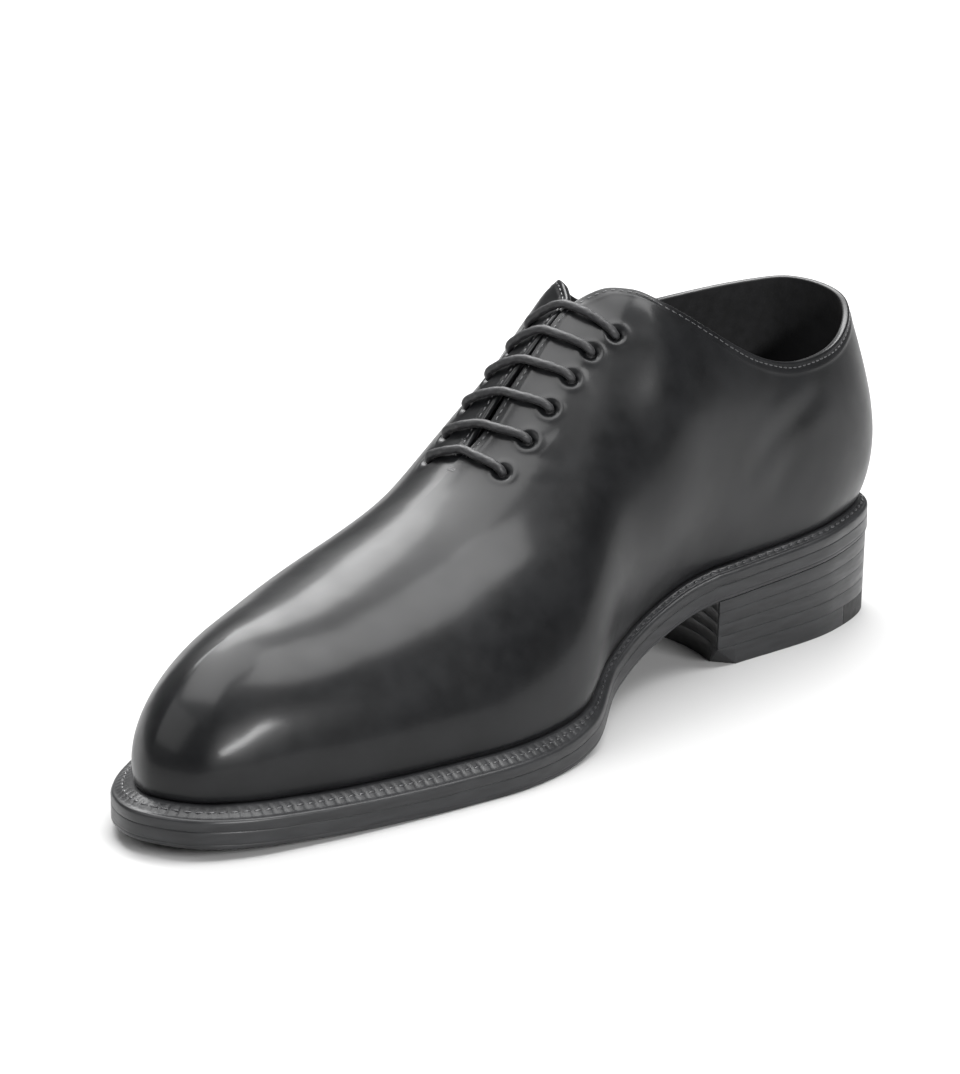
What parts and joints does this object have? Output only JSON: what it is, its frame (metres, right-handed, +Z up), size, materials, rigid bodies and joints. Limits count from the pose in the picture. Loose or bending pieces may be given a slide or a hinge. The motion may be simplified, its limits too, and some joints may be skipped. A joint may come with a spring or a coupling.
{
  "type": "whole cut oxford shoe",
  "caption": "Right whole cut oxford dress shoe in black calf with a leather sole, welt and stacked heel, laced closed, standing empty.",
  "frame": {"origin": "middle of the shoe's box, on the floor", "axes": "+X from heel to toe, +Y to the wearer's left (the inner side of this right shoe), +Z up"},
  "size_m": [0.3056, 0.1028, 0.1168],
  "materials": {
    "calf": "satin gloss",
    "lining": "matt",
    "sole_leather": "satin, waxed",
    "rubber": "matt",
    "cord": "waxed"
  },
  "bodies": {
    "root": {"outsole": "sole_leather", "welt": "sole_leather", "insole": "lining", "upper": "calf", "tongue": "calf", "lace": "cord", "heel_lift_1": "sole_leather", "heel_lift_2": "sole_leather", "heel_lift_3": "sole_leather", "heel_lift_4": "sole_leather", "top_piece_leather": "sole_leather", "top_piece_rubber": "rubber"}
  },
  "joints": []
}
